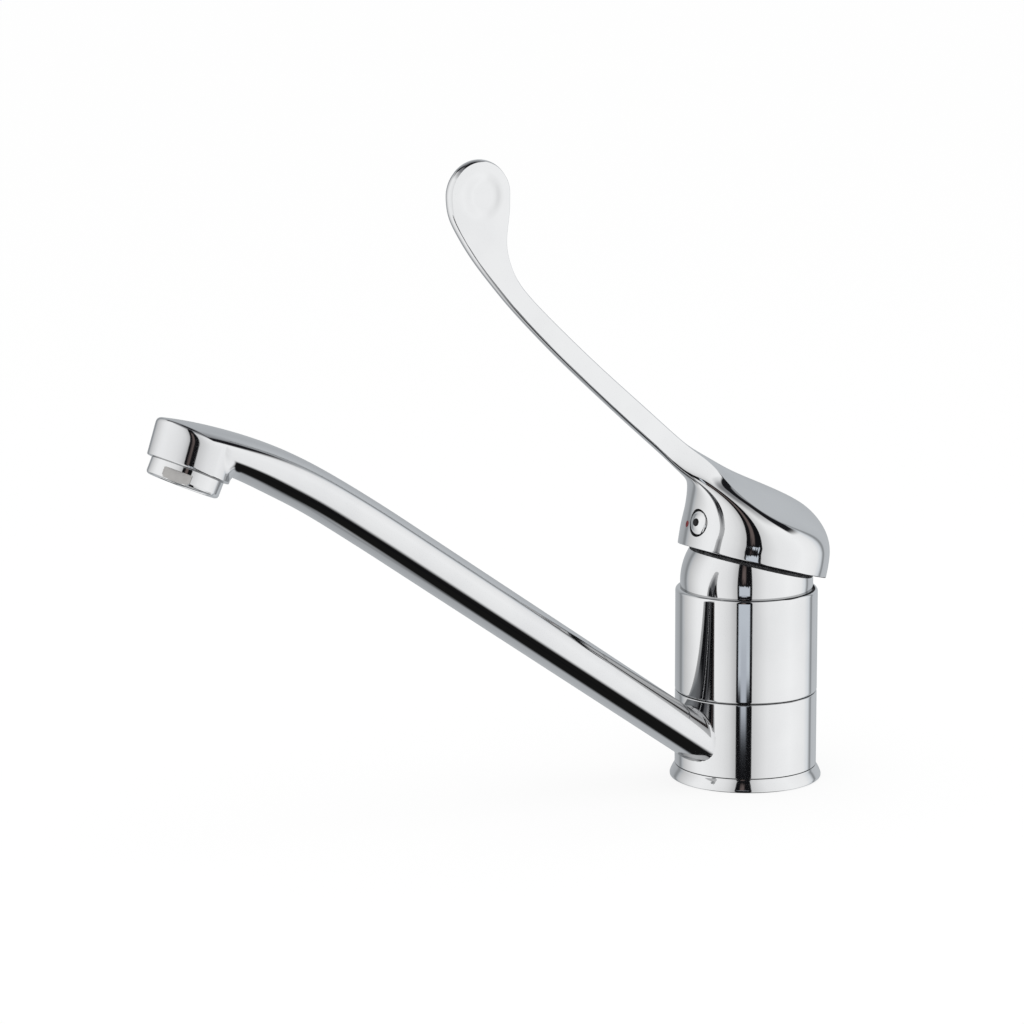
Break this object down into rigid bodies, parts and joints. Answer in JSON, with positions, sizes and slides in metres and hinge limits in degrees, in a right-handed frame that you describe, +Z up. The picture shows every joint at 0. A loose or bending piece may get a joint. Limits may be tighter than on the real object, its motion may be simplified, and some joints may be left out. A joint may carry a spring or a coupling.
{
  "type": "elbow lever tap",
  "caption": "Single-hole basin mixer tap with a swivelling rising spout, an angled aerator and a long blade lever worked by the elbow.",
  "frame": {"origin": "centre of the foot on the deck, at the mouth of the fixing stud's hole", "axes": "+Z up the tap's axis, -Y along the spout and the lever at rest, +X to the right for a user in front of the spout"},
  "size_m": [0.0504, 0.2467, 0.21],
  "materials": {
    "chrome_foot": "polished chrome plating",
    "chrome_body": "polished chrome plating",
    "chrome_dome": "polished chrome plating",
    "chrome_sleeve": "polished chrome plating",
    "chrome_spout": "polished chrome plating",
    "chrome_aerator": "polished chrome plating",
    "chrome_lever": "polished chrome plating",
    "chrome_plug": "polished chrome plating",
    "rubber": "matt black rubber",
    "cartridge_plastic": "satin off-white engineering plastic",
    "guide_plastic": "satin grey engineering plastic",
    "glide_plastic": "satin white low-friction plastic",
    "insert_plastic": "satin light grey plastic",
    "ceramic": "lapped white ceramic",
    "nut_brass": "turned brass",
    "stem_brass": "turned brass",
    "mesh_steel": "woven stainless mesh",
    "pin_steel": "ground steel",
    "screw_steel": "blackened steel",
    "mark_red": "glossy dark red enamel"
  },
  "bodies": {
    "mixer_body": {"base_flange": "chrome_foot", "base_gasket": "rubber", "body_casting": "chrome_body", "spout_seal_upper": "rubber", "spout_seal_lower": "rubber", "cartridge_base": "cartridge_plastic", "cartridge_port_seals": "rubber", "fixed_disc": "ceramic", "cartridge_housing": "cartridge_plastic", "cartridge_nut": "nut_brass", "dome_cap": "chrome_dome"},
    "swivel_spout": {"spout_sleeve": "chrome_sleeve", "glide_ring_upper": "glide_plastic", "glide_ring_lower": "glide_plastic", "spout_tube": "chrome_spout", "aerator_gasket": "rubber", "aerator_insert": "insert_plastic", "aerator_mesh": "mesh_steel", "aerator_housing": "chrome_aerator"},
    "cartridge_rotor": {"stem_guide": "guide_plastic", "stem_pivot_pin": "pin_steel"},
    "disc_driver": {"disc_carrier": "glide_plastic", "moving_disc": "ceramic"},
    "lever": {"cartridge_stem": "stem_brass", "lever_handle": "chrome_lever", "handle_set_screw": "screw_steel", "indicator_plug": "chrome_plug", "hot_mark": "mark_red"}
  },
  "joints": [
    {"name": "spout_swivel", "type": "hinge", "parent": "mixer_body", "child": "swivel_spout", "pos_m": [0, 0, 0.0169], "axis": [0, 0, 1], "continuous": true},
    {"name": "temperature_turn", "type": "hinge", "parent": "mixer_body", "child": "cartridge_rotor", "pos_m": [0, 0, 0.0658], "axis": [0, 0, 1], "range_deg": [-45, 45]},
    {"name": "lever_lift", "type": "hinge", "parent": "cartridge_rotor", "child": "lever", "pos_m": [0, 0, 0.0658], "axis": [1, 0, 0], "range_deg": [0, 25]},
    {"name": "disc_slide", "type": "slide", "parent": "cartridge_rotor", "child": "disc_driver", "axis": [0, 1, 0], "range_m": [0, 0.00598]}
  ],
  "couplings": [
    {"joint": "disc_slide", "follows": "lever_lift", "m_per_rad": 0.013691}
  ]
}
